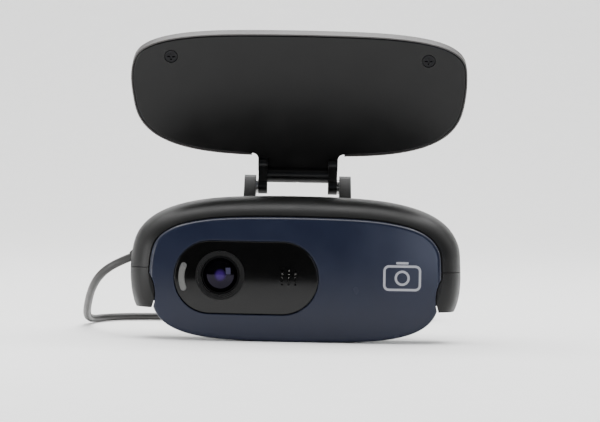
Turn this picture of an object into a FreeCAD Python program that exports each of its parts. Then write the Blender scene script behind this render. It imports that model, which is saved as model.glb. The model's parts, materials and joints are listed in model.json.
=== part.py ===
"""Webcam with a screen clip whose rear flap folds on a two-pin hinge. Millimetres, +Z up.

Front is -Y and +X is to the viewer's right. The origin is the centre of the saddle's underside,
where the head rests on the top edge of a screen.
"""
import FreeCAD, Part
import math
import os

V = FreeCAD.Vector
X, Y, Z = V(1, 0, 0), V(0, 1, 0), V(0, 0, 1)
LEFT, RIGHT = -1, 1
FAR = 200.0                      # longer than the whole object, for cutting boxes
os.makedirs("parts", exist_ok=True)

# ---------------------------------------------------------------- driving dimensions
# casing
CASE_HALF_WIDTH = 35.5
CASE_TOP = 23.0
CASE_MID_Z = 7.0                 # height of the widest line
CASE_BELOW = 16.5                # half-height of the outline below that line
CASE_POWER = 3.1                 # exponent of the rounded outline
CASE_FRONT_Y = -6.3
REAR_FOOT_Y = 5.05               # rear face at the saddle's height
CASE_WALL = 1.6
EAR_BOTTOM = -1.1                # the sides reach below the saddle
SEAM_Z = 7.4                     # where the two casing halves meet
SEAM_GAP = 0.12
REAR_SLOPE = 20.0                # degrees, rear face from upright
# face plate
BAND_SIDE, BAND_TOP = 4.8, 4.5   # casing that shows round the plate
FACE_HALF_WIDTH = CASE_HALF_WIDTH - BAND_SIDE
FACE_TOP = CASE_TOP - BAND_TOP
LIP_BOTTOM = -7.6
FACE_POWER_TOP = 3.4
FACE_POWER_LOW = 3.9
FACE_FRONT_Y = -10.0
FACE_BACK_Y = -5.6
FACE_CROWN_Z = 3.0               # height of the foremost line
FACE_RADIUS_ACROSS = 230.0
FACE_RADIUS_UP = 110.0
FACE_WALL = 1.6
FACE_GAP = 0.35                  # dark line between plate and casing
LIP_BACK_Y = -6.0
EAR_BULGE = 0.8                  # the ear tips swell inwards
EAR_BULGE_RADIUS = 8.0
EAR_BULGE_Z = 1.8
# window
WINDOW_LENGTH, WINDOW_HEIGHT = 30.2, 15.1
WINDOW_MARGIN = 5.2              # plate's left edge to the window
WINDOW_X = -(FACE_HALF_WIDTH - WINDOW_MARGIN - WINDOW_LENGTH / 2)
WINDOW_Z = 5.7
WINDOW_END_X = WINDOW_X - (WINDOW_LENGTH - WINDOW_HEIGHT) / 2     # centre of its left end
WINDOW_THICK = 1.2
WINDOW_GAP = 0.2
LEDGE, LEDGE_THICK = 0.7, 1.0
GASKET_THICK = 0.4
EDGE_BREAK = 0.15                # rounded edges of the window and of its recess
# lens
LENS_X, LENS_Z = WINDOW_END_X + 2.05, 6.1
TRIM_RADIUS = 5.15
TRIM_STEPS = ((4.75, 0.25), (4.4, 0.75), (4.1, 1.5))   # inner radius, depth behind the window
LENS_RADIUS = 3.65
BARREL_RADIUS = 3.55
BARREL_HEAD_LENGTH = 2.1
BARREL_BORE = 2.6
BARREL_LENGTH = 7.2
HOLDER_SIDE = 5.6                # half-width of the holder's foot
CELL_HALF = 4.2                  # half-width of the room over the sensor
HOLDER_FOOT = 3.4
HOLDER_LENGTH = 7.0
CELL_DEPTH = 1.9                 # room over the sensor, barrel end to board
# indicator
LED_X, LED_ARC_RADIUS, LED_ARC_WIDTH, LED_HALF_ANGLE = WINDOW_END_X, 6.1, 1.25, 22.5
# microphone
MIC_COLUMNS, MIC_ROWS = 3, 5
MIC_PITCH_X, MIC_PITCH_Z = 1.4, 0.72
MIC_X, MIC_Z = WINDOW_X + 8.95, 5.9
MIC_HOLE_RADIUS = 0.2
MIC_RADIUS, MIC_DEPTH = 2.0, 1.5
# board
BOARD_FRONT_Y = 0.6
BOARD_THICK = 1.0
BOARD_HALF_WIDTH = FACE_HALF_WIDTH - 6.7
SCREW_RADIUS = 0.8
SCREW_HEAD_RADIUS = 1.5
SCREW_HEAD_THICK = 0.9
BOSS_RADIUS = 1.9
BOARD_SCREW_X = BOARD_HALF_WIDTH - 3.5
BOARD_SCREW_Z = FACE_TOP - 2.9
BOARD_HIGH = BOARD_SCREW_Z + 2.0
CASE_SCREW_X = 6.5
CASE_SCREW_Z = FACE_TOP - 2.7
PROCESSOR_X, PROCESSOR_Z, PROCESSOR_SIDE = -4.5, 7.7, 7.0
CHIP_THICK = 0.9
CRYSTAL_LENGTH, CRYSTAL_WIDTH, CRYSTAL_THICK = 4.6, 1.9, 1.2
SMALL_PARTS, SMALL_PART_X, SMALL_PART_PITCH = 6, 7.0, 1.6      # resistors and capacitors, one row a side
SMALL_PART_LONG, SMALL_PART_WIDE = 1.0, 0.5
HEADER_LENGTH, HEADER_HIGH, HEADER_DEEP, HEADER_WALL = 5.5, 3.6, 2.2, 0.5
HEADER_Z = 4.0
WIRE_COUNT, WIRE_RADIUS, WIRE_PITCH = 4, 0.18, 0.75
# hinge
FOLD_GAP = 0.5                   # rear face to the folded flap
HINGE_RISE = 2.2                 # pin line above the casing's top
HINGE_Z = CASE_TOP + HINGE_RISE
POST_INNER, POST_OUTER = 9.3, 11.9
POST_RADIUS = 2.45
PIN_RADIUS = 0.8
PIN_FIT = 0.03                   # radial running clearance in the lugs
PIN_INNER, PIN_OUTER = 7.0, 11.3
LUG_INNER, LUG_OUTER = 6.8, 8.8
LUG_RADIUS = 1.75
WASHER_RADIUS = 1.6
WASHER_GAP = 0.05
BAR_RADIUS = 1.75
BAR_RISE = 2.45                  # bar centre above the pins
BAR_NOTCH = 0.7
ARM_FRONT_ROOT = (9.2, 4.6)      # post's corners on the casing: in front of and below the pins
ARM_REAR_ROOT = (5.9, 5.2)
ARM_LEAN = 38.0                  # degrees, slope of the post's arm
SHOULDER_R = 5.2                 # rounded tops of the lugs, from the pins
NECK_THICK = 2.3
# flap
FLAP_LEAN = 28.0                 # degrees, leaning forward at rest
FLAP_FRONT = 0.6                 # front surface behind the pin line
FLAP_THICK = 3.0
FLAP_NEAR, FLAP_FAR = 7.3, 36.65
FLAP_WIDE_R = 26.2               # distance from the pins to the widest line
FLAP_HALF_WIDTH = CASE_HALF_WIDTH + 1.1
FLAP_POWER = 3.35
FLAP_RIM = 0.4                   # rear shell showing round the front panel
PANEL_THICK = 1.4
NECK_HALF_WIDTH = 8.9
NECK_FILLET = 1.3
PAD_THICK, PAD_PROUD = 0.8, 0.4
PAD_HALF_WIDTH, PAD_NEAR, PAD_FAR = 24.0, 17.0, 31.0
FLAP_SCREW_X, FLAP_SCREW_R, FLAP_SCREW_HEAD = 28.0, 31.0, 1.35
SCREW_SINK, SCREW_RING = 0.65, 0.15   # seat under the panel's front, gap round the head
# pads
SADDLE_HALF_WIDTH, SADDLE_FRONT, SADDLE_BACK = 24.0, -5.0, 3.6
SADDLE_PROUD = 0.3
SADDLE_PAD_THICK = 0.8
LIP_PAD_HALF_WIDTH, LIP_PAD_LOW, LIP_PAD_HIGH, LIP_PAD_THICK = 20.0, -5.6, -1.6, 0.5
# cable
CABLE_RADIUS = 0.9
EXIT_OUT, EXIT_Y, EXIT_Z = 0.2, 4.6, 9.2   # grommet's outer end: out from the casing's side, y, z
CABLE_WAY = V(-1.0, 0.12, -0.42)  # direction it points out of the casing
GROMMET_RADIUS = 1.6
GROMMET_FLANGE = 1.9
GROMMET_LENGTH = 2.2 * CASE_WALL + 0.98   # the cable crosses the wall at a slant
FLOOR_Z = LIP_BOTTOM             # the surface that the cable lies on
TIE_THICK, TIE_WIDTH = 0.4, 2.6
COIL_X, COIL_Y = 18.0 - CASE_HALF_WIDTH, 65.0
COIL_COLUMNS, COIL_LAYERS = 5, 4
COIL_MID_RADIUS = 10.8
PLUG_TURN = 35.0                 # degrees from +X
GRIP_LENGTH, GRIP_WIDTH, GRIP_HEIGHT = 20.0, 15.0, 7.6
RELIEF_LENGTH = 1.5
SHELL_LENGTH, SHELL_WIDTH, SHELL_HEIGHT, SHELL_WALL = 12.0, 12.0, 4.5, 0.35
CLEAR = 0.1                      # between pieces of one body that don't touch
BOARD_STEP = 1.2                 # width of the casing's step behind the plate


def beside(out, y, z):
    """Point 'out' beyond the casing's left side."""
    return V(-CASE_HALF_WIDTH - out, y, z)


# free stretch of cable from the grommet to the coil, then from the coil to the plug
CABLE_WAY.normalize()
CABLE_EXIT = beside(EXIT_OUT, EXIT_Y, EXIT_Z)
CABLE_ROUTE = [CABLE_EXIT, CABLE_EXIT.add(CABLE_WAY * 4.4)] + [beside(*place) for place in (
    (7.5, 7.6, 4.9), (9.4, 11.8, 2.1), (10.8, 17.9, -1.0), (11.9, 24.8, -3.8), (12.5, 32.0, -5.7),
    (12.1, 39.0, -6.7), (9.8, 45.4, -6.7), (5.1, 50.2, -6.7), (-1.3, 52.3, -6.7), (-7.9, 52.4, -6.7),
    (-13.9, 51.2, -6.7))]
TAIL_ROUTE = [beside(*place) for place in (
    (-21.9, 51.1, 0.7), (-27.5, 52.2, -0.1), (-32.3, 54.1, -2.6), (-36.3, 56.4, -3.8), (-40.0, 59.0, -3.8))]

# ---------------------------------------------------------------- worked out from those
SLOPE = math.radians(REAR_SLOPE)
FLAP_BACK = FLAP_FRONT + FLAP_THICK + PAD_PROUD          # pin line to the pad's surface
FLOOR_TOP = SADDLE_PROUD + CASE_WALL                     # inside of the casing, over the saddle
BOARD_LOW = FLOOR_TOP + 0.7
MOUTH_Y = FACE_BACK_Y + 0.5                              # step in the casing behind the plate
HINGE_Y = (REAR_FOOT_Y + HINGE_Z * math.tan(SLOPE)
           + (FLAP_BACK + FOLD_GAP) / math.cos(SLOPE))
HINGE = V(0, HINGE_Y, HINGE_Z)
CASE_ABOVE = CASE_TOP - CASE_MID_Z
HOLDER_RADIUS = LENS_Z - FLOOR_TOP - CLEAR               # clears the casing's floor
BARREL_HEAD_RADIUS = HOLDER_RADIUS - 0.12
COIL_RADIUS = COIL_MID_RADIUS + COIL_COLUMNS * CABLE_RADIUS
COIL_HOLE = COIL_MID_RADIUS - COIL_COLUMNS * CABLE_RADIUS
COIL_HEIGHT = 2 * CABLE_RADIUS * COIL_LAYERS


# ---------------------------------------------------------------- helpers
def export(node, shape):
    if not shape.isValid():
        print("INVALID", node)
    shape.exportStep("parts/%s.step" % node)
    print("%-22s %9.2f mm3  solids %d" % (node, shape.Volume, len(shape.Solids)))


def box(x0, x1, y0, y1, z0, z1):
    return Part.makeBox(x1 - x0, y1 - y0, z1 - z0, V(x0, y0, z0))


def rod(radius, start, end):
    way = end.sub(start)
    return Part.makeCylinder(radius, way.Length, start, way)


def fuse(*shapes):
    whole = shapes[0]
    for shape in shapes[1:]:
        whole = whole.fuse(shape)
    return whole


def both_sides(shape):
    return [shape, shape.mirror(V(0, 0, 0), X)]


def oval(half_width, above, below, power_top, power_low, mid, points=28):
    """Closed rounded outline (x, z), a superellipse with its own top and bottom half-heights."""
    outline = []
    for i in range(points):
        angle = 2 * math.pi * (i + 0.5) / points
        c, s = math.cos(angle), math.sin(angle)
        power = power_top if s > 0 else power_low
        rise = above if s > 0 else below
        x = half_width * math.copysign(abs(c) ** (2 / power), c)
        outline.append((x, mid + rise * math.copysign(abs(s) ** (2 / power), s)))
    return outline


def smooth_wire(points):
    curve = Part.BSplineCurve()
    curve.interpolate(points, PeriodicFlag=True)
    return Part.Wire(curve.toShape())


def prism(outline, y0, y1):
    face = Part.Face(smooth_wire([V(x, y0, z) for x, z in outline]))
    return face.extrude(V(0, y1 - y0, 0))


def case_outline(inset):
    return oval(CASE_HALF_WIDTH - inset, CASE_ABOVE - inset, CASE_BELOW - inset,
                CASE_POWER, CASE_POWER, CASE_MID_Z)


def face_outline(inset):
    return oval(FACE_HALF_WIDTH - inset, FACE_TOP - CASE_MID_Z - inset,
                CASE_MID_Z - LIP_BOTTOM - inset, FACE_POWER_TOP, FACE_POWER_LOW, CASE_MID_Z)


def case_body(inset):
    """The casing's rounded envelope: outlines that tilt from upright in front to the rear slope."""
    front_inset = CASE_HALF_WIDTH - FACE_HALF_WIDTH - FACE_GAP
    depth = REAR_FOOT_Y - CASE_FRONT_Y
    stations = ((0.0, front_inset, 0.0), (0.06, front_inset - 1.5, 0.02), (0.2, 1.35, 0.06),
                (0.42, 0.35, 0.15), (0.66, 0.0, 0.35), (0.86, 0.45, 0.7), (0.97, 1.7, 0.95),
                (1.0, 3.2, 1.0))
    wires = []
    for share, shrink, tilt in stations:
        y0 = CASE_FRONT_Y + inset + share * (depth - 2 * inset)
        lean = tilt * math.tan(SLOPE)
        wires.append(smooth_wire([V(x, y0 + lean * z, z) for x, z in case_outline(shrink + inset)]))
    return Part.makeLoft(wires, True, False)


def barrel_front(back):
    """Solid whose front is a shallow double-curved dome, its top line 'back' behind the plate's front."""
    top_y = FACE_FRONT_Y + back
    rise = FACE_RADIUS_UP - back
    half = 30.0
    drop = rise - math.sqrt(rise ** 2 - half ** 2)
    low, high = V(0, top_y + drop, FACE_CROWN_Z - half), V(0, top_y + drop, FACE_CROWN_Z + half)
    rear_low, rear_high = V(0, 30, FACE_CROWN_Z - half), V(0, 30, FACE_CROWN_Z + half)
    edges = [Part.Arc(low, V(0, top_y, FACE_CROWN_Z), high).toShape(), Part.makeLine(high, rear_high),
             Part.makeLine(rear_high, rear_low), Part.makeLine(rear_low, low)]
    profile = Part.Face(Part.Wire(edges))
    centre = V(0, FACE_FRONT_Y + FACE_RADIUS_ACROSS, 0)
    sweep = 30.0
    profile.rotate(centre, Z, -sweep / 2)
    return profile.revolve(centre, Z, sweep)


def stadium(x, z, length, height, y0, y1):
    r = height / 2
    half = length / 2 - r
    top_l, top_r = V(x - half, y0, z + r), V(x + half, y0, z + r)
    low_l, low_r = V(x - half, y0, z - r), V(x + half, y0, z - r)
    edges = [Part.makeLine(top_l, top_r), Part.Arc(top_r, V(x + half + r, y0, z), low_r).toShape(),
             Part.makeLine(low_r, low_l), Part.Arc(low_l, V(x - half - r, y0, z), top_l).toShape()]
    return Part.Face(Part.Wire(edges)).extrude(V(0, y1 - y0, 0))


def above_plane(z):
    return box(-FAR, FAR, -FAR, FAR, z, FAR)


def below_plane(z):
    return box(-FAR, FAR, -FAR, FAR, -FAR, z)


# ---------------------------------------------------------------- cable paths
def arc_path(points, name):
    """Straight runs joined by tangent arcs, each 0.45 of its shorter run over tan(half turn)."""
    edges, radii = [], []
    at = points[0]
    for before, corner, after in zip(points, points[1:], points[2:]):
        into, out = corner.sub(before), after.sub(corner)
        turn = into.getAngle(out)
        cut = 0.45 * min(into.Length, out.Length)
        radii.append(cut / math.tan(turn / 2))
        into.normalize()
        out.normalize()
        start, end = corner.sub(into * cut), corner.add(out * cut)
        inward = out.sub(into)
        inward.normalize()
        gap = radii[-1] * (1 / math.cos(turn / 2) - 1)
        edges.append(Part.makeLine(at, start))
        edges.append(Part.Arc(start, corner.add(inward * gap), end).toShape())
        at = end
    edges.append(Part.makeLine(at, points[-1]))
    print(name, "radii", " ".join("%.1f" % r for r in radii))
    return Part.Wire(edges)


def cable_tube(points, name):
    path = arc_path(points, name)
    way = points[1].sub(points[0])
    ring = Part.Wire(Part.makeCircle(CABLE_RADIUS, points[0], way))
    tube = path.makePipeShell([ring], True, False)
    expect = math.pi * CABLE_RADIUS ** 2 * path.Length
    print("%s length %.1f  volume/expected %.4f" % (name, path.Length, tube.Volume / expect))
    return tube


# ---------------------------------------------------------------- casing
def ear_bulges(extra):
    """Rounded swelling on the inner side of each ear tip."""
    x = FACE_HALF_WIDTH - EAR_BULGE + EAR_BULGE_RADIUS
    bulge = rod(EAR_BULGE_RADIUS + extra, V(x, CASE_FRONT_Y - 6, EAR_BULGE_Z),
                V(x, FACE_BACK_Y + 2.5, EAR_BULGE_Z))
    return both_sides(bulge)


def casing_solid():
    """Both halves as one hollow shell, before it is split at the seam."""
    outer = case_body(0.0).common(above_plane(EAR_BOTTOM))
    inner = case_body(CASE_WALL).common(above_plane(FLOOR_TOP))
    under_saddle = box(-FACE_HALF_WIDTH - FACE_GAP, FACE_HALF_WIDTH + FACE_GAP, -FAR, FAR, -FAR, SADDLE_PROUD)
    shell = outer.cut(inner).cut(under_saddle)
    mouth = prism(face_outline(-FACE_GAP), -20, MOUTH_Y)
    through = prism(face_outline(BOARD_STEP), -20, CASE_FRONT_Y + CASE_WALL + 0.5)
    through = through.common(above_plane(FLOOR_TOP))
    shell = shell.cut(mouth).cut(through)
    for x, z, end in boss_places():
        shell = shell.cut(rod(BOSS_RADIUS + 0.15, V(x, CASE_FRONT_Y - 1, z), V(x, end + CLEAR, z)))
    sill = box(-FACE_HALF_WIDTH + 2.5, FACE_HALF_WIDTH - 2.5, LIP_BACK_Y + 0.3, MOUTH_Y + 1.0,
               SADDLE_PROUD, FLOOR_TOP)
    bulges = [b.common(outer).common(box(-FAR, FAR, -FAR, MOUTH_Y, -FAR, SEAM_Z - 1.0))
              for b in ear_bulges(0.0)]
    return fuse(shell, sill, *bulges)


def hinge_post(side):
    """Arm with a rounded end that holds one pin, standing on the casing's rear top edge."""
    x0 = side * POST_INNER
    eye = Part.makeCylinder(POST_RADIUS, POST_OUTER - POST_INNER, V(x0, HINGE_Y, HINGE_Z), V(side, 0, 0))
    front_root = V(x0, HINGE_Y - ARM_FRONT_ROOT[0], HINGE_Z - ARM_FRONT_ROOT[1])
    rear_root = V(x0, HINGE_Y - ARM_REAR_ROOT[0], HINGE_Z - ARM_REAR_ROOT[1])
    lean = math.radians(ARM_LEAN)
    upper = V(x0, HINGE_Y - POST_RADIUS * math.sin(lean), HINGE_Z + POST_RADIUS * math.cos(lean))
    lower = V(x0, HINGE_Y + POST_RADIUS * math.sin(lean), HINGE_Z - POST_RADIUS * math.cos(lean))
    outline = Part.makePolygon([upper, front_root, rear_root, lower, upper])
    arm = Part.Face(outline).extrude(V(side * (POST_OUTER - POST_INNER), 0, 0))
    return fuse(eye, arm)


def pin_hole(side, radius):
    start = V(side * (POST_INNER - 1.0), HINGE_Y, HINGE_Z)
    return Part.makeCylinder(radius, PIN_OUTER - POST_INNER + 1.0, start, V(side, 0, 0))


def rear_face_y(z):
    return REAR_FOOT_Y + z * math.tan(SLOPE)


def along_cable(distance):
    """Point on the grommet's axis, measured outwards from the grommet's outer end."""
    return CABLE_EXIT.add(CABLE_WAY * distance)


def make_casing():
    shell = casing_solid()
    hole_gap = 0.15
    seat = rear_face_y(CASE_SCREW_Z) - CASE_WALL - 0.9
    for side in (LEFT, RIGHT):
        x, z = side * CASE_SCREW_X, CASE_SCREW_Z
        well = rod(SCREW_HEAD_RADIUS + hole_gap + 0.9, V(x, seat - 1.1, z), V(x, seat + 4.5, z))
        shell = fuse(shell, well.common(case_body(0.0)))
        shell = shell.cut(rod(SCREW_HEAD_RADIUS + hole_gap, V(x, seat, z), V(x, seat + 9, z)))
        shell = shell.cut(rod(SCREW_RADIUS + hole_gap, V(x, seat - 4, z), V(x, seat + 1, z)))
    shell = shell.cut(rod(GROMMET_RADIUS + 0.02, along_cable(5), along_cable(-GROMMET_LENGTH)))
    pad = box(-SADDLE_HALF_WIDTH - CLEAR, SADDLE_HALF_WIDTH + CLEAR, SADDLE_FRONT - CLEAR, SADDLE_BACK + CLEAR,
              -1, SADDLE_PAD_THICK)
    lower = shell.common(below_plane(SEAM_Z - SEAM_GAP / 2)).cut(pad)
    upper = shell.common(above_plane(SEAM_Z + SEAM_GAP / 2))
    middle = box(-CASE_HALF_WIDTH * 0.75, CASE_HALF_WIDTH * 0.75, -FAR, FAR, -FAR, FAR)
    tongue = case_body(CASE_WALL + CLEAR).cut(case_body(CASE_WALL + CLEAR + 0.7)).cut(middle)
    tongue = tongue.common(box(-FAR, FAR, FACE_BACK_Y + 2.0, 1.5, SEAM_Z - 2.0, SEAM_Z + 1.4))
    root = case_body(CASE_WALL - 0.3).cut(case_body(CASE_WALL + CLEAR + 0.7)).cut(middle)
    root = root.common(box(-FAR, FAR, FACE_BACK_Y + 2.0, 1.5, SEAM_Z - 2.0, SEAM_Z - 0.4))
    lower = fuse(lower, root, tongue)
    for side in (LEFT, RIGHT):
        post = hinge_post(side).cut(case_body(CASE_WALL * 0.5))
        upper = fuse(upper, post)
    for side in (LEFT, RIGHT):
        upper = upper.cut(pin_hole(side, PIN_RADIUS + 0.01))
    export("top_shell", upper)
    export("bottom_shell", lower)
    return upper, lower


def make_saddle_and_lip_pads():
    saddle = box(-SADDLE_HALF_WIDTH, SADDLE_HALF_WIDTH, SADDLE_FRONT, SADDLE_BACK, 0, SADDLE_PAD_THICK)
    saddle = saddle.makeFillet(1.5, [e for e in saddle.Edges if abs(e.tangentAt(e.FirstParameter).z) > 0.9])
    export("saddle_pad", saddle)
    lip = box(-LIP_PAD_HALF_WIDTH, LIP_PAD_HALF_WIDTH, LIP_BACK_Y - LIP_PAD_THICK, LIP_BACK_Y,
              LIP_PAD_LOW, LIP_PAD_HIGH)
    lip = lip.makeFillet(1.2, [e for e in lip.Edges if abs(e.tangentAt(e.FirstParameter).y) > 0.9])
    export("lip_pad", lip)


# ---------------------------------------------------------------- face plate and window
def boss_places():
    """Screw bosses on the plate's inside: x, z and the y where each ends."""
    places = []
    for side in (LEFT, RIGHT):
        places.append((side * BOARD_SCREW_X, BOARD_SCREW_Z, BOARD_FRONT_Y - 0.02))
        places.append((side * CASE_SCREW_X, CASE_SCREW_Z, rear_face_y(CASE_SCREW_Z) - CASE_WALL - 2.4))
    return places


def make_face():
    plate = prism(face_outline(0.0), FACE_FRONT_Y - 3, FACE_BACK_Y).common(barrel_front(0.0))
    rim = [e for e in plate.Edges if e.BoundBox.YMax < FACE_BACK_Y - 0.2 and e.Length > 20]
    plate = plate.makeFillet(0.9, rim)
    hollow = prism(face_outline(FACE_WALL), FACE_FRONT_Y - 3, FACE_BACK_Y + 1).common(barrel_front(FACE_WALL))
    hollow = hollow.common(above_plane(FLOOR_TOP + CLEAR))
    plate = plate.cut(hollow)
    plate = plate.cut(box(-FAR, FAR, LIP_BACK_Y, FAR, -FAR, FLOOR_TOP + CLEAR))
    for bulge in ear_bulges(FACE_GAP):
        plate = plate.cut(bulge.common(above_plane(EAR_BOTTOM - FACE_GAP)))
    # the window's recess, the ledge behind it, and the light hole through the ledge
    backing = stadium(WINDOW_X, WINDOW_Z, WINDOW_LENGTH + 2.4, WINDOW_HEIGHT + 2.4, FACE_FRONT_Y, -4.0)
    ledge_back = WINDOW_THICK + GASKET_THICK + LEDGE_THICK
    backing = backing.common(barrel_front(0.5)).cut(barrel_front(ledge_back))
    plate = fuse(plate, backing)
    for x, z, end in boss_places():
        boss = rod(BOSS_RADIUS, V(x, FACE_FRONT_Y + 1.2, z), V(x, end, z)).common(barrel_front(1.0))
        plate = fuse(plate, boss)
        plate = plate.cut(rod(SCREW_RADIUS + 0.02, V(x, end - 4.6, z), V(x, end + 1, z)))
    recess = stadium(WINDOW_X, WINDOW_Z, WINDOW_LENGTH + 2 * WINDOW_GAP, WINDOW_HEIGHT + 2 * WINDOW_GAP,
                     FACE_FRONT_Y - 2, -2).cut(barrel_front(WINDOW_THICK + GASKET_THICK))
    through = stadium(WINDOW_X, WINDOW_Z, WINDOW_LENGTH - 2 * LEDGE, WINDOW_HEIGHT - 2 * LEDGE,
                      FACE_FRONT_Y - 2, 0)
    lip_wall = box(-FAR, FAR, LIP_BACK_Y - 1.0, FAR, -FAR, FLOOR_TOP + CLEAR)
    through = through.cut(lip_wall)
    plate = plate.cut(recess)
    mouth = [e for e in plate.Edges if on_front(e) and around_window(e, WINDOW_GAP)]
    plate = plate.makeFillet(EDGE_BREAK, mouth).cut(through)
    plate = plate.cut(box(-LIP_PAD_HALF_WIDTH - CLEAR, LIP_PAD_HALF_WIDTH + CLEAR, LIP_BACK_Y - LIP_PAD_THICK,
                          LIP_BACK_Y + 1, LIP_PAD_LOW - CLEAR, LIP_PAD_HIGH + CLEAR))
    export("face_plate", plate)


def on_front(edge):
    """Whether an edge lies in the plate's front surface."""
    points = edge.discretize(5)
    return all(abs(p.y - face_y(p.x, p.z)) < 0.01 for p in points)


def around_window(edge, gap):
    """Whether an edge follows the window's outline, 'gap' outside it."""
    radius = WINDOW_HEIGHT / 2 + gap
    half = (WINDOW_LENGTH - WINDOW_HEIGHT) / 2
    for p in edge.discretize(5):
        x = max(0.0, abs(p.x - WINDOW_X) - half)
        if abs(math.hypot(x, p.z - WINDOW_Z) - radius) > 0.01:
            return False
    return True


def led_crescent(extra, y0, y1):
    outer = LED_ARC_RADIUS + LED_ARC_WIDTH / 2 + extra
    inner = LED_ARC_RADIUS - LED_ARC_WIDTH / 2 - extra
    half = math.radians(LED_HALF_ANGLE)

    def at(radius, angle):
        return V(LED_X - radius * math.cos(angle), y0, WINDOW_Z + radius * math.sin(angle))

    tip = half + (outer - inner) / 2 / LED_ARC_RADIUS      # rounded ends
    edges = [Part.Arc(at(outer, -half), at(outer, 0), at(outer, half)).toShape(),
             Part.Arc(at(outer, half), at(LED_ARC_RADIUS, tip), at(inner, half)).toShape(),
             Part.Arc(at(inner, half), at(inner, 0), at(inner, -half)).toShape(),
             Part.Arc(at(inner, -half), at(LED_ARC_RADIUS, -tip), at(outer, -half)).toShape()]
    return Part.Face(Part.Wire(edges)).extrude(V(0, y1 - y0, 0))


def make_window():
    pane = stadium(WINDOW_X, WINDOW_Z, WINDOW_LENGTH, WINDOW_HEIGHT, FACE_FRONT_Y - 2, 0)
    pane = pane.common(barrel_front(0.0)).cut(barrel_front(WINDOW_THICK))
    pane = pane.makeFillet(EDGE_BREAK, [e for e in pane.Edges if on_front(e) and around_window(e, 0.0)])
    pane = pane.cut(rod(TRIM_RADIUS + 0.04, V(LENS_X, FACE_FRONT_Y - 1, LENS_Z), V(LENS_X, 0, LENS_Z)))
    pane = pane.cut(led_crescent(0.03, FACE_FRONT_Y - 1, 0))
    for column in range(MIC_COLUMNS):
        for row in range(MIC_ROWS):
            x = MIC_X + (column - (MIC_COLUMNS - 1) / 2) * MIC_PITCH_X
            z = MIC_Z + (row - (MIC_ROWS - 1) / 2) * MIC_PITCH_Z
            pane = pane.cut(rod(MIC_HOLE_RADIUS, V(x, FACE_FRONT_Y - 1, z), V(x, 0, z)))
    export("lens_window", pane)
    seal = stadium(WINDOW_X, WINDOW_Z, WINDOW_LENGTH - 0.2, WINDOW_HEIGHT - 0.2, FACE_FRONT_Y - 2, 0)
    seal = seal.cut(stadium(WINDOW_X, WINDOW_Z, WINDOW_LENGTH - 2 * LEDGE + 0.2,
                            WINDOW_HEIGHT - 2 * LEDGE + 0.2, FACE_FRONT_Y - 3, 1))
    seal = seal.common(barrel_front(WINDOW_THICK)).cut(barrel_front(WINDOW_THICK + GASKET_THICK))
    export("window_gasket", seal)


def face_y(x, z):
    """Front surface of plate and window at (x, z)."""
    up = FACE_RADIUS_UP - math.sqrt(FACE_RADIUS_UP ** 2 - (z - FACE_CROWN_Z) ** 2)
    ring = FACE_RADIUS_ACROSS - up
    return FACE_FRONT_Y + FACE_RADIUS_ACROSS - math.sqrt(ring ** 2 - x ** 2)


# ---------------------------------------------------------------- camera module
def at(y):
    """Point on the lens axis."""
    return V(LENS_X, y, LENS_Z)


def make_lens_stack():
    front = face_y(LENS_X, LENS_Z)
    ring = rod(TRIM_RADIUS, at(front - 0.15), at(front + WINDOW_THICK + 1.0))
    ring = ring.cut(rod(TRIM_STEPS[-1][0], at(front - 1), at(front + 3)))
    for radius, depth in TRIM_STEPS:
        ring = ring.cut(rod(radius, at(front - 1), at(front + depth)))
    flange = rod(TRIM_RADIUS + 0.7, at(front + WINDOW_THICK + 0.7), at(front + WINDOW_THICK + 1.2))
    flange = flange.cut(rod(TRIM_STEPS[-1][0], at(front - 1), at(front + 3)))
    export("lens_trim_ring", fuse(ring, flange))
    barrel_front_y = front + TRIM_STEPS[1][1]
    barrel_end = barrel_front_y + BARREL_LENGTH
    barrel = rod(BARREL_RADIUS - 0.02, at(barrel_front_y), at(barrel_end))
    barrel = fuse(barrel, rod(BARREL_HEAD_RADIUS, at(barrel_front_y), at(barrel_front_y + BARREL_HEAD_LENGTH)))
    barrel = barrel.cut(rod(LENS_RADIUS, at(barrel_front_y - 1), at(barrel_front_y + 1.9)))
    barrel = barrel.cut(rod(BARREL_BORE, at(barrel_front_y), at(barrel_end + 1)))
    export("lens_barrel", barrel)
    bowl = 7.0
    middle = barrel_front_y + 0.1 + bowl
    front_lens = rod(LENS_RADIUS - 0.02, at(barrel_front_y - 0.5), at(barrel_front_y + 1.9))
    front_lens = front_lens.common(Part.makeSphere(bowl, at(middle)))
    export("front_lens", front_lens)
    rear_front = barrel_end - 1.6
    rear_lens = rod(BARREL_BORE - 0.02, at(rear_front), at(barrel_end - 0.1))
    rear_lens = rear_lens.common(Part.makeSphere(6.0, at(barrel_end - 0.1 - 6.0)))
    export("rear_lens", rear_lens)
    base = BOARD_FRONT_Y
    holder = box(LENS_X - HOLDER_SIDE, LENS_X + HOLDER_SIDE, base - HOLDER_FOOT, base, BOARD_LOW + CLEAR,
                 LENS_Z + HOLDER_SIDE)
    holder = fuse(holder, rod(HOLDER_RADIUS, at(base - HOLDER_LENGTH), at(base - HOLDER_FOOT + 0.4)))
    holder = holder.cut(rod(BARREL_RADIUS, at(base - HOLDER_LENGTH - 2), at(base - CELL_DEPTH)))
    holder = holder.cut(box(LENS_X - CELL_HALF, LENS_X + CELL_HALF, base - CELL_DEPTH, base + 1, LENS_Z - 2.9,
                            LENS_Z + CELL_HALF))
    export("lens_holder", holder)
    glass = box(LENS_X - 3.6, LENS_X + 3.6, base - 1.35, base - 1.05, LENS_Z - 2.7, LENS_Z + 2.7)
    export("infrared_filter", glass)
    sensor = box(LENS_X - 3.2, LENS_X + 3.2, base - 0.95, base, LENS_Z - 2.6, LENS_Z + 2.6)
    export("image_sensor", sensor)


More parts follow.
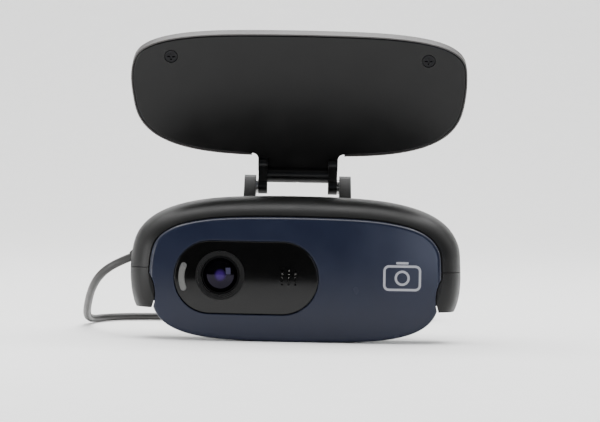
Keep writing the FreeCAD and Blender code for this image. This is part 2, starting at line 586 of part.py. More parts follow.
def board_hole(x, z):
    return rod(SCREW_RADIUS + 0.15, V(x, BOARD_FRONT_Y - 1, z), V(x, BOARD_FRONT_Y + BOARD_THICK + 1, z))


def make_board():
    y0, y1 = BOARD_FRONT_Y, BOARD_FRONT_Y + BOARD_THICK
    board = box(-BOARD_HALF_WIDTH, BOARD_HALF_WIDTH, y0, y1, BOARD_LOW, BOARD_HIGH)
    board = board.makeFillet(1.5, [e for e in board.Edges if abs(e.tangentAt(e.FirstParameter).y) > 0.9])
    for side in (LEFT, RIGHT):
        board = board.cut(board_hole(side * BOARD_SCREW_X, BOARD_SCREW_Z))
        board = board.cut(rod(BOSS_RADIUS + 0.3, V(side * CASE_SCREW_X, y0 - 1, CASE_SCREW_Z),
                              V(side * CASE_SCREW_X, y1 + 1, CASE_SCREW_Z)))
    export("circuit_board", board)
    half = PROCESSOR_SIDE / 2
    chip = box(PROCESSOR_X - half, PROCESSOR_X + half, y1, y1 + CHIP_THICK,
               PROCESSOR_Z - half, PROCESSOR_Z + half)
    chip = chip.makeChamfer(0.15, [e for e in chip.Edges if e.BoundBox.YMin > y1 + CHIP_THICK - 0.1])
    export("processor_chip", chip)
    export("memory_chip", box(1.5, 6.5, y1, y1 + CHIP_THICK, 5.0, 9.0))
    export("crystal_can", stadium(11.0, 5.2, CRYSTAL_LENGTH, CRYSTAL_WIDTH, y1, y1 + CRYSTAL_THICK))
    small = []
    for i in range(SMALL_PARTS):
        x = SMALL_PART_X + SMALL_PART_PITCH * i
        small.append(box(x, x + SMALL_PART_LONG, y0 - SMALL_PART_WIDE, y0, 4.0, 4.0 + SMALL_PART_WIDE))
        small.append(box(x, x + SMALL_PART_LONG, y1, y1 + SMALL_PART_WIDE, 9.4, 9.4 + SMALL_PART_WIDE))
    export("board_components", Part.makeCompound(small))


def make_indicator():
    x = LED_X - LED_ARC_RADIUS
    front = face_y(x, WINDOW_Z)
    stem_x0, stem_x1 = x + 1.0, x + 2.2
    led = box(stem_x0 - 0.2, stem_x1 + 0.2, BOARD_FRONT_Y - 0.7, BOARD_FRONT_Y, 8.7, 9.7)
    export("indicator_led", led)
    behind_ledge = front + WINDOW_THICK + GASKET_THICK + LEDGE_THICK + 0.3
    light = led_crescent(0.0, front - 3.0, behind_ledge + 0.6).common(barrel_front(0.02))
    stem = box(stem_x0, stem_x1, behind_ledge, BOARD_FRONT_Y - 0.8, 8.6, 9.8)
    bridge = box(x - 0.4, stem_x1, behind_ledge, behind_ledge + 0.6, 7.2, 9.8)
    export("light_pipe", fuse(light, bridge, stem))


def make_microphone():
    front = face_y(MIC_X, MIC_Z)
    capsule_back = BOARD_FRONT_Y
    capsule = rod(MIC_RADIUS, V(MIC_X, capsule_back - MIC_DEPTH, MIC_Z), V(MIC_X, capsule_back, MIC_Z))
    export("microphone_capsule", capsule)
    start = front + WINDOW_THICK + 0.2
    boot = rod(MIC_RADIUS + 0.8, V(MIC_X, start, MIC_Z), V(MIC_X, capsule_back - 0.3, MIC_Z))
    boot = boot.cut(rod(MIC_RADIUS + 0.02, V(MIC_X, capsule_back - MIC_DEPTH, MIC_Z), V(MIC_X, 3, MIC_Z)))
    boot = boot.cut(rod(MIC_RADIUS - 0.2, V(MIC_X, start - 1, MIC_Z), V(MIC_X, 3, MIC_Z)))
    export("microphone_boot", boot)


def make_inner_wiring():
    y1 = BOARD_FRONT_Y + BOARD_THICK
    x0 = -BOARD_HALF_WIDTH + 4.6
    x1, z1 = x0 + HEADER_LENGTH, HEADER_Z + HEADER_HIGH
    wall = HEADER_WALL
    header = box(x0, x1, y1, y1 + HEADER_DEEP, HEADER_Z, z1)
    header = header.cut(box(x0 + wall, x1 - wall, y1 + 0.6, y1 + HEADER_DEEP + 1, HEADER_Z + wall, z1 - wall))
    export("cable_header", header)
    plug_back = y1 + HEADER_DEEP + 0.2
    wall += 0.05
    export("header_plug", box(x0 + wall, x1 - wall, y1 + 0.65, plug_back, HEADER_Z + wall, z1 - wall))
    inner_end = -GROMMET_LENGTH - 3.9
    wires = []
    for i in range(WIRE_COUNT):
        start = V(x0 + 1.4 + WIRE_PITCH * i, plug_back + 0.02, HEADER_Z + 0.95 + 0.55 * i)
        turn = start.add(V(0, 0.35, 0))
        end = along_cable(inner_end - 0.3).add(V(0, 0, (i - (WIRE_COUNT - 1) / 2) * 0.4))
        wires.append(fuse(rod(WIRE_RADIUS, start, turn), Part.makeSphere(WIRE_RADIUS, turn),
                          rod(WIRE_RADIUS, turn, end)))
    export("inner_wires", Part.makeCompound(wires))
    inner = rod(CABLE_RADIUS, along_cable(inner_end), along_cable(0))
    grommet = rod(GROMMET_RADIUS, along_cable(0.1 - GROMMET_LENGTH), along_cable(-1.2))
    nose = Part.makeCone(GROMMET_RADIUS, CABLE_RADIUS + 0.25, 1.2, along_cable(-1.2), CABLE_WAY)
    flange = rod(GROMMET_FLANGE, along_cable(-GROMMET_LENGTH), along_cable(1.0 - GROMMET_LENGTH))
    relief = fuse(grommet, nose, flange).cut(inner)
    export("cable_grommet", relief)
    export("cable_inner_end", inner)
    middle = along_cable(-GROMMET_LENGTH - 2.1)
    clamp = box(middle.x - 1.1, middle.x + 1.1, middle.y - 1.8, middle.y + 1.8, middle.z - 1.8, middle.z + 1.8)
    clamp = clamp.cut(rod(CABLE_RADIUS + 0.02, along_cable(3), along_cable(-12)))
    export("cable_clamp", clamp)


def machine_screw(tip, head, radius=SCREW_RADIUS, head_radius=SCREW_HEAD_RADIUS, head_thick=SCREW_HEAD_THICK):
    """Cross-head screw from its tip to the underside of its head."""
    way = head.sub(tip)
    way.normalize()
    top = head.add(way * head_thick)
    shank = rod(radius, tip, head)
    cap = rod(head_radius, head, top)
    side = way.cross(X) if abs(way.x) < 0.5 else way.cross(Z)
    side.normalize()
    other = way.cross(side)
    screw = fuse(shank, cap)
    for along, across in ((side, other), (other, side)):
        slot = Part.makeBox(head_radius * 1.2, head_radius * 0.3, head_thick)
        slot.translate(V(-head_radius * 0.6, -head_radius * 0.15, -head_thick * 0.5))
        turn = FreeCAD.Placement(top, FreeCAD.Rotation(along, across, way, "ZXY"))
        slot.Placement = turn.multiply(slot.Placement)
        screw = screw.cut(slot)
    return screw


def make_screws():
    y1 = BOARD_FRONT_Y + BOARD_THICK
    x, z = BOARD_SCREW_X, BOARD_SCREW_Z
    board = [machine_screw(V(s * x, y1 - 4.6, z), V(s * x, y1, z)) for s in (LEFT, RIGHT)]
    export("board_screws", Part.makeCompound(board))
    seat = rear_face_y(CASE_SCREW_Z) - CASE_WALL - 0.9
    x, z = CASE_SCREW_X, CASE_SCREW_Z
    case = [machine_screw(V(s * x, seat - 5.2, z), V(s * x, seat, z)) for s in (LEFT, RIGHT)]
    export("casing_screws", Part.makeCompound(case))


# ---------------------------------------------------------------- hinge pins and washers
def make_hinge_pins():
    for name, side in (("hinge_pin_left", LEFT), ("hinge_pin_right", RIGHT)):
        pin = Part.makeCylinder(PIN_RADIUS, PIN_OUTER - PIN_INNER, V(side * PIN_INNER, HINGE_Y, HINGE_Z),
                                V(side, 0, 0))
        export(name, pin)
    rings = []
    for side in (LEFT, RIGHT):
        start = LUG_OUTER + WASHER_GAP
        thick = POST_INNER - LUG_OUTER - 2 * WASHER_GAP
        ring = Part.makeCylinder(WASHER_RADIUS, thick, V(side * start, HINGE_Y, HINGE_Z), V(side, 0, 0))
        hole = Part.makeCylinder(PIN_RADIUS + PIN_FIT, thick, V(side * start, HINGE_Y, HINGE_Z), V(side, 0, 0))
        rings.append(ring.cut(hole))
    export("friction_washers", Part.makeCompound(rings))


# ---------------------------------------------------------------- flap
def to_rest(shape):
    """From the flap's own frame (pins on X, flap up +Z, front -Y) to its rest place."""
    placed = shape.copy()
    placed.rotate(V(0, 0, 0), X, FLAP_LEAN)
    placed.translate(HINGE)
    return placed


def flap_outline(inset):
    return oval(FLAP_HALF_WIDTH - inset, FLAP_FAR - FLAP_WIDE_R - inset, FLAP_WIDE_R - FLAP_NEAR - inset,
                FLAP_POWER, FLAP_POWER, FLAP_WIDE_R)


def flap_front_edges(shape, y):
    return [e for e in shape.Edges
            if e.BoundBox.YMax < y + 0.01 and e.BoundBox.YMin > y - 0.01 and e.Length > 30]


def make_flap_panel():
    front, back = FLAP_FRONT, FLAP_FRONT + PANEL_THICK
    plate = prism(flap_outline(FLAP_RIM), front, back)
    plate = plate.makeFillet(0.3, flap_front_edges(plate, front))
    neck = box(-NECK_HALF_WIDTH, NECK_HALF_WIDTH, front, FLAP_FRONT + NECK_THICK, 3.6, FLAP_NEAR + 1.2)
    root_z = FLAP_NEAR + FLAP_RIM
    fillets = []
    for side in (LEFT, RIGHT):
        x = side * NECK_HALF_WIDTH
        corner = box(min(x, x + side * NECK_FILLET), max(x, x + side * NECK_FILLET), front, back,
                     root_z - NECK_FILLET + 0.2, root_z + 0.6)
        corner = corner.cut(rod(NECK_FILLET, V(x + side * NECK_FILLET, 0, root_z - NECK_FILLET + 0.2),
                                V(x + side * NECK_FILLET, 5, root_z - NECK_FILLET + 0.2)))
        fillets.append(corner)
    bar_y = FLAP_FRONT + 0.3
    bar = rod(BAR_RADIUS, V(-LUG_INNER - 0.1, bar_y, BAR_RISE), V(LUG_INNER + 0.1, bar_y, BAR_RISE))
    web = box(-LUG_INNER - 0.1, LUG_INNER + 0.1, front + 0.2, FLAP_FRONT + 2.0, BAR_RISE, 4.0)
    lugs = []
    for side in (LEFT, RIGHT):
        x0, x1 = sorted((side * LUG_INNER, side * LUG_OUTER))
        boss = rod(LUG_RADIUS, V(x0, 0, 0), V(x1, 0, 0))
        arm = box(x0, x1, -0.9, FLAP_FRONT + 2.0, 0.0, SHOULDER_R)
        shoulder = rod(1.5, V(x0, FLAP_FRONT, SHOULDER_R), V(x1, FLAP_FRONT, SHOULDER_R))
        lugs += [boss, arm, shoulder]
    panel = fuse(plate, neck, bar, web, *(fillets + lugs))
    notch_z = BAR_RISE - BAR_RADIUS - 0.2
    notch = rod(BAR_NOTCH, V(0, -FAR / 4, notch_z), V(0, FAR / 4, notch_z))
    panel = panel.cut(notch)
    for side in (LEFT, RIGHT):
        x0, x1 = sorted((side * (PIN_INNER - 0.1), side * (LUG_OUTER + 1)))
        panel = panel.cut(rod(PIN_RADIUS + PIN_FIT, V(x0, 0, 0), V(x1, 0, 0)))
        x = side * FLAP_SCREW_X
        panel = panel.cut(rod(FLAP_SCREW_HEAD + SCREW_RING, V(x, 0, FLAP_SCREW_R), V(x, front + SCREW_SINK, FLAP_SCREW_R)))
        panel = panel.cut(rod(SCREW_RADIUS + 0.1, V(x, 0, FLAP_SCREW_R), V(x, back + 1, FLAP_SCREW_R)))
    export("flap_panel", to_rest(panel))


def make_flap_shell():
    back = FLAP_FRONT + FLAP_THICK
    shell = prism(flap_outline(0.0), FLAP_FRONT + 0.05, back)
    rear = [e for e in shell.Edges if e.BoundBox.YMin > back - 0.01 and e.Length > 30]
    shell = shell.makeFillet(0.8, rear)
    seat = prism(flap_outline(FLAP_RIM - CLEAR), FLAP_FRONT - 1, FLAP_FRONT + PANEL_THICK + 0.02)
    hollow = prism(flap_outline(FLAP_RIM + 1.2), FLAP_FRONT, back - 1.0)
    neck_way = box(-NECK_HALF_WIDTH - CLEAR - NECK_FILLET, NECK_HALF_WIDTH + CLEAR + NECK_FILLET, -5,
                   FLAP_FRONT + PANEL_THICK + 0.02, 0, FLAP_NEAR + FLAP_RIM + 1.3)
    tongue_way = box(-NECK_HALF_WIDTH - CLEAR, NECK_HALF_WIDTH + CLEAR, -5, FLAP_FRONT + NECK_THICK + CLEAR,
                     0, FLAP_NEAR + 1.2 + CLEAR)
    shell = shell.cut(seat).cut(hollow).cut(neck_way).cut(tongue_way)
    ribs = []
    for x in (-20.0, -7.0, 7.0, 20.0):
        ribs.append(box(x - 0.5, x + 0.5, FLAP_FRONT + PANEL_THICK + 0.05, back - 0.5,
                        FLAP_NEAR + 3, FLAP_FAR - 3))
    for side in (LEFT, RIGHT):
        ribs.append(rod(2.2, V(side * FLAP_SCREW_X, FLAP_FRONT + PANEL_THICK + 0.05, FLAP_SCREW_R),
                        V(side * FLAP_SCREW_X, back - 0.5, FLAP_SCREW_R)))
    shell = fuse(shell, *ribs)
    pocket = box(-PAD_HALF_WIDTH - CLEAR, PAD_HALF_WIDTH + CLEAR, back + PAD_PROUD - PAD_THICK, back + 2,
                 PAD_NEAR - CLEAR, PAD_FAR + CLEAR)
    shell = shell.cut(pocket)
    for side in (LEFT, RIGHT):
        x = side * FLAP_SCREW_X
        shell = shell.cut(rod(SCREW_RADIUS + 0.02, V(x, 0, FLAP_SCREW_R), V(x, back - 0.4, FLAP_SCREW_R)))
    export("flap_back_shell", to_rest(shell))
    pad = box(-PAD_HALF_WIDTH, PAD_HALF_WIDTH, back + PAD_PROUD - PAD_THICK, back + PAD_PROUD,
              PAD_NEAR, PAD_FAR)
    pad = pad.makeFillet(2.0, [e for e in pad.Edges if abs(e.tangentAt(e.FirstParameter).y) > 0.9])
    export("flap_grip_pad", to_rest(pad))
    screws = []
    for side in (LEFT, RIGHT):
        x = side * FLAP_SCREW_X
        screws.append(machine_screw(V(x, back - 0.6, FLAP_SCREW_R), V(x, FLAP_FRONT + SCREW_SINK, FLAP_SCREW_R),
                                    head_radius=FLAP_SCREW_HEAD, head_thick=0.6))
    export("flap_screws", to_rest(Part.makeCompound(screws)))


# ---------------------------------------------------------------- cable, coil and plug
def tie_slab(inner, outer, low, high):
    return box(COIL_X - TIE_WIDTH / 2, COIL_X + TIE_WIDTH / 2, COIL_Y + inner, COIL_Y + outer, low, high)


def make_cable():
    tube = cable_tube(CABLE_ROUTE, "usb_cable")
    tail = cable_tube(TAIL_ROUTE, "usb_cable_tail")
    export("usb_cable", tube)
    export("usb_cable_tail", tail)
    base = V(COIL_X, COIL_Y, FLOOR_Z + TIE_THICK)
    coil = Part.makeCylinder(COIL_RADIUS, COIL_HEIGHT, base)
    coil = coil.cut(Part.makeCylinder(COIL_HOLE, COIL_HEIGHT, base))
    coil = coil.makeFillet(CABLE_RADIUS, coil.Edges)
    last_turn_radius = COIL_RADIUS - CABLE_RADIUS
    last_turn_at = base.add(V(0, 0, COIL_HEIGHT + 0.8 * CABLE_RADIUS))
    last_turn = Part.makeTorus(last_turn_radius, CABLE_RADIUS, last_turn_at)
    export("usb_cable_coil", coil.fuse(last_turn))
    slack = 0.02
    step = last_turn_radius - CABLE_RADIUS - slack       # where the tie climbs over the last turn
    low_top = base.z + COIL_HEIGHT + slack
    high_top = base.z + COIL_HEIGHT + 1.8 * CABLE_RADIUS + slack
    band = fuse(tie_slab(COIL_HOLE - TIE_THICK, step, FLOOR_Z, low_top + TIE_THICK),
                tie_slab(step - TIE_THICK, COIL_RADIUS + TIE_THICK, FLOOR_Z, high_top + TIE_THICK))
    under = V(COIL_X, COIL_Y, base.z - slack)
    bore = Part.makeCylinder(COIL_RADIUS + slack, high_top - under.z, under)
    bore = bore.cut(Part.makeCylinder(COIL_HOLE - slack, high_top - under.z, under))
    bore = bore.cut(Part.makeCylinder(step, FAR, V(COIL_X, COIL_Y, low_top)))
    export("cable_tie", band.cut(bore))


def lay_plug(shape):
    """From the plug's own frame (cable end at the origin, tip along +X) to where it lies."""
    placed = shape.copy()
    placed.rotate(V(0, 0, 0), Z, PLUG_TURN)
    placed.translate(TAIL_ROUTE[-1])
    return placed


def make_plug():
    start, tip = RELIEF_LENGTH, RELIEF_LENGTH + GRIP_LENGTH
    half_w, half_h = SHELL_WIDTH / 2, SHELL_HEIGHT / 2
    grip = box(start, tip, -GRIP_WIDTH / 2, GRIP_WIDTH / 2, -GRIP_HEIGHT / 2, GRIP_HEIGHT / 2)
    grip = grip.makeFillet(2.0, [e for e in grip.Edges if abs(e.tangentAt(e.FirstParameter).x) > 0.9])
    relief = Part.makeCone(CABLE_RADIUS + 0.5, CABLE_RADIUS + 1.4, RELIEF_LENGTH, V(0, 0, 0), X)
    sleeve = box(tip - 2.0, tip + SHELL_LENGTH, -half_w, half_w, -half_h, half_h)
    export("usb_plug_grip", lay_plug(fuse(grip, relief).cut(sleeve)))
    inside = box(tip - 1.6, tip + SHELL_LENGTH + 1, -half_w + SHELL_WALL, half_w - SHELL_WALL,
                 -half_h + SHELL_WALL, half_h - SHELL_WALL)
    shell = sleeve.cut(inside)
    for y in (-2.6, 2.6):
        shell = shell.cut(box(tip + 5.0, tip + 7.4, y - 1.1, y + 1.1, 0, SHELL_HEIGHT))
    export("usb_plug_shell", lay_plug(shell))
    tongue = box(tip - 1.5, tip + SHELL_LENGTH - 1.0, -half_w + SHELL_WALL + 0.05, half_w - SHELL_WALL - 0.05,
                 0, half_h - SHELL_WALL - 0.05)
    export("usb_plug_tongue", lay_plug(tongue))
    bars = []
    for i in range(4):
        y = (i - 1.5) * 2.2
        bars.append(box(tip + 2.5, tip + SHELL_LENGTH - 2.0, y - 0.5, y + 0.5, -0.15, 0))
    export("usb_plug_contacts", lay_plug(Part.makeCompound(bars)))


make_casing()
make_saddle_and_lip_pads()
make_face()
make_window()
make_lens_stack()
make_board()
make_indicator()
make_microphone()
make_inner_wiring()
make_screws()
make_hinge_pins()
make_flap_panel()
make_flap_shell()
make_cable()
make_plug()
print("hinge", HINGE)
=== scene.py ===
# %% [markdown]
# A webcam with a screen clip, built up around its CAD frame.
# The frame holds every moulded part at its real size. This notebook adds the camera, the light, the
# surface of each material, and the pieces made as meshes or curves: the cable, the ribbed grip pads and
# the printed sign.

# %% Load the frame
import json
import math

import bpy
from mathutils import Matrix, Vector


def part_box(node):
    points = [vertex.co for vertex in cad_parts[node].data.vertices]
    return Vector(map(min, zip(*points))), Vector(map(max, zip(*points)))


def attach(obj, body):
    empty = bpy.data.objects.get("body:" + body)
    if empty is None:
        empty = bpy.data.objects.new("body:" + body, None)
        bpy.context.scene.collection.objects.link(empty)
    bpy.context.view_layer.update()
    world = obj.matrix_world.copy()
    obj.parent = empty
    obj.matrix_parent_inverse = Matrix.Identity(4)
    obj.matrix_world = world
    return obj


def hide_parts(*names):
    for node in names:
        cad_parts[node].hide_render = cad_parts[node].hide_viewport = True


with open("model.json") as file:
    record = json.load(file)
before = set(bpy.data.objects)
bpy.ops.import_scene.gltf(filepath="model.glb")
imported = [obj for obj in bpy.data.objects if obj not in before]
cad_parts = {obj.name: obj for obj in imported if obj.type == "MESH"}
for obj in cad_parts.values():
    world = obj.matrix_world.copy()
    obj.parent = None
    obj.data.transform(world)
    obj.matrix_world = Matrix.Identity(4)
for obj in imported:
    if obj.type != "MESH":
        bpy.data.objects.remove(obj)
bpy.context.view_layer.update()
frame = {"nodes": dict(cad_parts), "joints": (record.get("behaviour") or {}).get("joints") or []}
MM = 0.001
print("frame nodes:", len(frame["nodes"]))

# %% [markdown]
# Everything is placed from a few points of the frame: the face plate's box, the lens trim ring's centre
# and the hinge line. A node's box gives its lowest and highest corners at rest.

# %% Points worked out from the frame


def middle(node):
    low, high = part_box(node)
    return (Vector(low) + Vector(high)) / 2


face_low, face_high = (Vector(corner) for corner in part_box("face_plate"))
lens_centre = middle("lens_trim_ring")
floor_height = face_low.z
print("face plate", round((face_high.x - face_low.x) / MM, 1), "mm wide")

# %% [markdown]
# The camera stands a little over 40 cm in front, at the height of the top of the head, as for a product
# picture taken with a long lens. It is turned by about one degree, so the object leans a touch to the right.

# %% Camera
CAMERA_PLACE = Vector((0.65, -418.0, 23.3)) * MM
CAMERA_AIM = Vector((0.65, 0.0, 19.86)) * MM
CAMERA_LENS = 116.8
CAMERA_ROLL = math.radians(1.1)

lens_data = bpy.data.cameras.new("camera")
camera = bpy.data.objects.new("camera", lens_data)
bpy.context.scene.collection.objects.link(camera)
lens_data.lens = CAMERA_LENS
lens_data.clip_start = 0.01
view = (CAMERA_AIM - CAMERA_PLACE).to_track_quat("-Z", "Y").to_matrix().to_4x4()
camera.matrix_world = Matrix.Translation(CAMERA_PLACE) @ view @ Matrix.Rotation(CAMERA_ROLL, 4, "Z")
bpy.context.scene.camera = camera

# %% [markdown]
# The cable leaves the casing's left side through a small grommet, drops in a gentle curve to the surface
# that it lies on, and runs round to a neat coil behind the head. One smooth spline with a round bevel makes
# it: its control points are listed where it runs free, and a loop winds the coil. The bevel is one
# metre deep and each point scales it down to the cable's own radius.

# %% Cable route
CABLE_DIAMETER = 1.8 * MM
EXIT = Vector((-35.7, 4.6, 9.2)) * MM
EXIT_WAY = Vector((-1.0, 0.12, -0.42)).normalized()
FREE_ROUTE = [EXIT, EXIT + EXIT_WAY * 4.4 * MM] + [Vector(point) * MM for point in (
    (-43.0, 7.6, 4.9), (-44.9, 11.8, 2.1), (-46.3, 17.9, -1.0), (-47.4, 24.8, -3.8), (-48.0, 32.0, -5.7),
    (-47.6, 39.0, -6.7), (-45.3, 45.4, -6.7), (-40.6, 50.2, -6.7), (-34.2, 52.3, -6.7), (-27.6, 52.4, -6.7))]
TAIL_ROUTE = [Vector(point) * MM for point in (
    (-8.0, 52.2, -0.1), (-3.2, 54.1, -2.6), (0.8, 56.4, -3.8), (4.5, 59.0, -3.8))]
COIL_CENTRE = Vector((-17.5, 65.0, 0.0)) * MM
COIL_OUTER, COIL_INNER = 14.4 * MM, 7.2 * MM
COIL_COLUMNS, COIL_LAYERS = 5, 4
COIL_FIRST_HEIGHT = floor_height + 0.4 * MM + CABLE_DIAMETER / 2
COIL_START, COIL_END = math.radians(253.5), math.radians(286.0)
POINTS_PER_TURN = 14


def coil_point(turns):
    """Where the cable is after this many turns: in along one layer, out along the next."""
    layer = min(int(turns // COIL_COLUMNS), COIL_LAYERS)
    along = turns - layer * COIL_COLUMNS
    shift = min(along, COIL_COLUMNS - 1)
    radius = COIL_OUTER - shift * CABLE_DIAMETER if layer % 2 == 0 else COIL_INNER + shift * CABLE_DIAMETER
    climb = max(0.0, along - (COIL_COLUMNS - 1))
    bulge = 0.25 * CABLE_DIAMETER * math.sin(math.pi * climb)
    radius += bulge if layer % 2 else -bulge
    height = COIL_FIRST_HEIGHT + (layer + math.sin(climb * math.pi / 2)) * CABLE_DIAMETER
    angle = COIL_START + 2 * math.pi * turns
    return Vector((COIL_CENTRE.x + radius * math.cos(angle), COIL_CENTRE.y + radius * math.sin(angle), height))


whole_turns = COIL_COLUMNS * COIL_LAYERS + (COIL_END - COIL_START) / (2 * math.pi)
coil_points = [coil_point(whole_turns * i / int(whole_turns * POINTS_PER_TURN))
               for i in range(int(whole_turns * POINTS_PER_TURN) + 1)]
route = FREE_ROUTE + coil_points + TAIL_ROUTE

cable_curve = bpy.data.curves.new("usb_lead", "CURVE")
cable_curve.dimensions = "3D"
spline = cable_curve.splines.new("NURBS")
spline.points.add(len(route) - 1)
for control, place in zip(spline.points, route):
    control.co = (*place, 1.0)
    control.radius = CABLE_DIAMETER / 2
spline.order_u = 3
spline.use_endpoint_u = True
spline.resolution_u = 4
cable_curve.bevel_depth = 1.0
cable_curve.bevel_resolution = 3
usb_lead = bpy.data.objects.new("usb_lead", cable_curve)
bpy.context.scene.collection.objects.link(usb_lead)
print("cable control points:", len(route))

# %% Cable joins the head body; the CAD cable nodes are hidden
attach(usb_lead, "head")
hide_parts("usb_cable", "usb_cable_coil", "usb_cable_tail")

# %% [markdown]
# Colours are written as sRGB hex, as a paint chart gives them, and turned to the linear values that the
# shader wants by one function. One more function adds a node with its settings and links.

# %% Helpers for materials


def linear(hex_colour):
    channels = [int(hex_colour[i:i + 2], 16) / 255 for i in (1, 3, 5)]
    return tuple(c / 12.92 if c <= 0.04045 else ((c + 0.055) / 1.055) ** 2.4 for c in channels) + (1.0,)


def add_node(tree, kind, settings=None, inputs=None):
    """One node: settings are its own options, inputs are socket values or sockets to link from."""
    node = tree.nodes.new(kind)
    for name, value in (settings or {}).items():
        setattr(node, name, value)
    for name, value in (inputs or {}).items():
        if isinstance(value, bpy.types.NodeSocket):
            tree.links.new(value, node.inputs[name])
        else:
            node.inputs[name].default_value = value
    return node


def start_material(name):
    material = bpy.data.materials.new(name)
    material.use_nodes = True
    tree = material.node_tree
    tree.nodes.clear()
    place = add_node(tree, "ShaderNodeTexCoord").outputs["Object"]
    return material, tree, place


def finish_material(tree, surface, bump_height=None, bump_distance=0.00002, bump_strength=1.0):
    """The shader and its output, with fine relief in metres if a height is given."""
    shader = add_node(tree, "ShaderNodeBsdfPrincipled", inputs=surface)
    if bump_height is not None:
        bump = add_node(tree, "ShaderNodeBump", inputs={"Height": bump_height, "Distance": bump_distance,
                                                        "Strength": bump_strength})
        tree.links.new(bump.outputs["Normal"], shader.inputs["Normal"])
    add_node(tree, "ShaderNodeOutputMaterial", inputs={"Surface": shader.outputs["BSDF"]})
    return shader


def grain(tree, place, spacing, detail=2.0):
    """Noise whose patches are about this many metres apart."""
    return add_node(tree, "ShaderNodeTexNoise", inputs={"Vector": place, "Scale": 1 / spacing, "Detail": detail,
                                                        "Roughness": 0.55}).outputs["Fac"]


def spread(tree, factor, low, high):
    """Noise between two numbers."""
    ranged = add_node(tree, "ShaderNodeMapRange", {"interpolation_type": "SMOOTHSTEP"},
                      {"Value": factor, "From Min": 0.2, "From Max": 0.8, "To Min": low, "To Max": high})
    return ranged.outputs["Result"]


def two_tone(tree, factor, dark, light):
    mix = add_node(tree, "ShaderNodeMix", {"data_type": "RGBA"}, {"Factor": factor})
    mix.inputs[6].default_value = linear(dark)
    mix.inputs[7].default_value = linear(light)
    return mix.outputs[2]


def moulded(name, dark, light, rough_low, rough_high, grain_size=0.25 * MM, relief=0.012 * MM, patch=6 * MM,
            specular=0.5, coat=0.0, coat_rough=0.1):
    """Injection-moulded plastic: a spark-eroded grain and slow patches where it has been handled."""
    material, tree, place = start_material(name)
    patches = grain(tree, place, patch)
    fine = grain(tree, place, grain_size, 3.0)
    finish_material(tree, {"Base Color": two_tone(tree, patches, dark, light),
                           "Roughness": spread(tree, patches, rough_low, rough_high),
                           "Specular IOR Level": specular, "IOR": 1.53,
                           "Coat Weight": coat, "Coat Roughness": coat_rough}, fine, relief)
    return material


# %% [markdown]
# The casing is ABS moulded in a spark-eroded tool, which leaves a grain of about a quarter of a millimetre
# and a soft, wide highlight. The flap's front was moulded in a smoother tool, so it has more sheen.

# %% Plastics
casing_abs = moulded("spark_eroded_black_abs", "#080808", "#0c0c0b", 0.36, 0.46, specular=0.22)
flap_abs = moulded("satin_black_abs", "#040404", "#070707", 0.3, 0.38, relief=0.004 * MM, specular=0.22)
rear_abs = moulded("satin_grey_brown_abs", "#2c2928", "#353130", 0.38, 0.48)
pale_nylon = moulded("natural_nylon", "#b9b3a3", "#c9c4b6", 0.45, 0.6)

RIB_PITCH = 1.0 * MM


def ribbed_rubber():
    """Silicone sheet calendered with fine ribs, one a millimetre."""
    material, tree, place = start_material("ribbed_silicone_rubber")
    dust = grain(tree, place, 3 * MM)
    ribs = add_node(tree, "ShaderNodeTexWave", {"wave_type": "BANDS", "bands_direction": "X"},
                    {"Vector": place, "Scale": math.pi / 10 / RIB_PITCH}).outputs["Fac"]
    finish_material(tree, {"Base Color": two_tone(tree, dust, "#131313", "#1d1d1c"),
                           "Roughness": spread(tree, dust, 0.6, 0.8)}, ribs, 0.06 * MM)
    return material


soft_rubber = ribbed_rubber()
barrel_black = moulded("anodised_black_trim", "#040404", "#070707", 0.26, 0.34, relief=0.002 * MM,
                        specular=0.18)
bore_black = moulded("matt_black_lens_barrel", "#020202", "#040404", 0.5, 0.6, relief=0.002 * MM,
                      specular=0.06)
chip_epoxy = moulded("moulded_chip_epoxy", "#151515", "#1e1e1e", 0.5, 0.6, grain_size=0.15 * MM)
cable_pvc = moulded("soft_black_pvc", "#1a1918", "#242322", 0.36, 0.46, grain_size=0.3 * MM, relief=0.006 * MM)
wire_pvc = moulded("red_wire_pvc", "#7d1414", "#8c1c18", 0.4, 0.5)

# %% [markdown]
# The face plate is painted from behind and polished in front: dark navy under a clear, glossy skin, with
# faint patches where dust and fingers have dulled it.

# %% Gloss
face_gloss = moulded("polished_navy_acrylic", "#161a29", "#1c2131", 0.2, 0.28, grain_size=1.2 * MM,
                     relief=0.0015 * MM, patch=9 * MM, specular=0.22)
window_gloss = moulded("tinted_black_acrylic", "#050505", "#080808", 0.06, 0.1, grain_size=2 * MM,
                       relief=0.0003 * MM, patch=8 * MM, specular=0.25)
light_guide = moulded("milky_acrylic", "#50504e", "#5c5c5a", 0.25, 0.35)
printed_ink = moulded("screen_printed_ink", "#8f8f94", "#9c9ca1", 0.4, 0.5, relief=0.004 * MM)


def coated_glass(name, tint, middle_tint, rough=0.02):
    """Coated glass over a dark bore: the coating's colour gathers round the middle of the lens."""
    material, tree, place = start_material(name)
    dust = grain(tree, place, 1.5 * MM)
    moved = add_node(tree, "ShaderNodeMapping", inputs={"Vector": place, "Location": -lens_centre})
    centred = moved.outputs["Vector"]
    flat = add_node(tree, "ShaderNodeVectorMath", {"operation": "MULTIPLY"})
    tree.links.new(centred, flat.inputs[0])
    flat.inputs[1].default_value = (1.0, 0.0, 1.0)
    away = add_node(tree, "ShaderNodeVectorMath", {"operation": "LENGTH"})
    tree.links.new(flat.outputs["Vector"], away.inputs[0])
    fade = add_node(tree, "ShaderNodeMapRange", {"interpolation_type": "SMOOTHSTEP"},
                    {"Value": away.outputs["Value"], "From Min": 0.5 * MM, "From Max": 1.5 * MM})
    finish_material(tree, {"Base Color": two_tone(tree, fade.outputs["Result"], middle_tint, tint),
                           "Roughness": spread(tree, dust, rough, rough + 0.02),
                           "IOR": 1.5, "Specular IOR Level": 0.2, "Specular Tint": linear("#e2d8ff")})
    return material


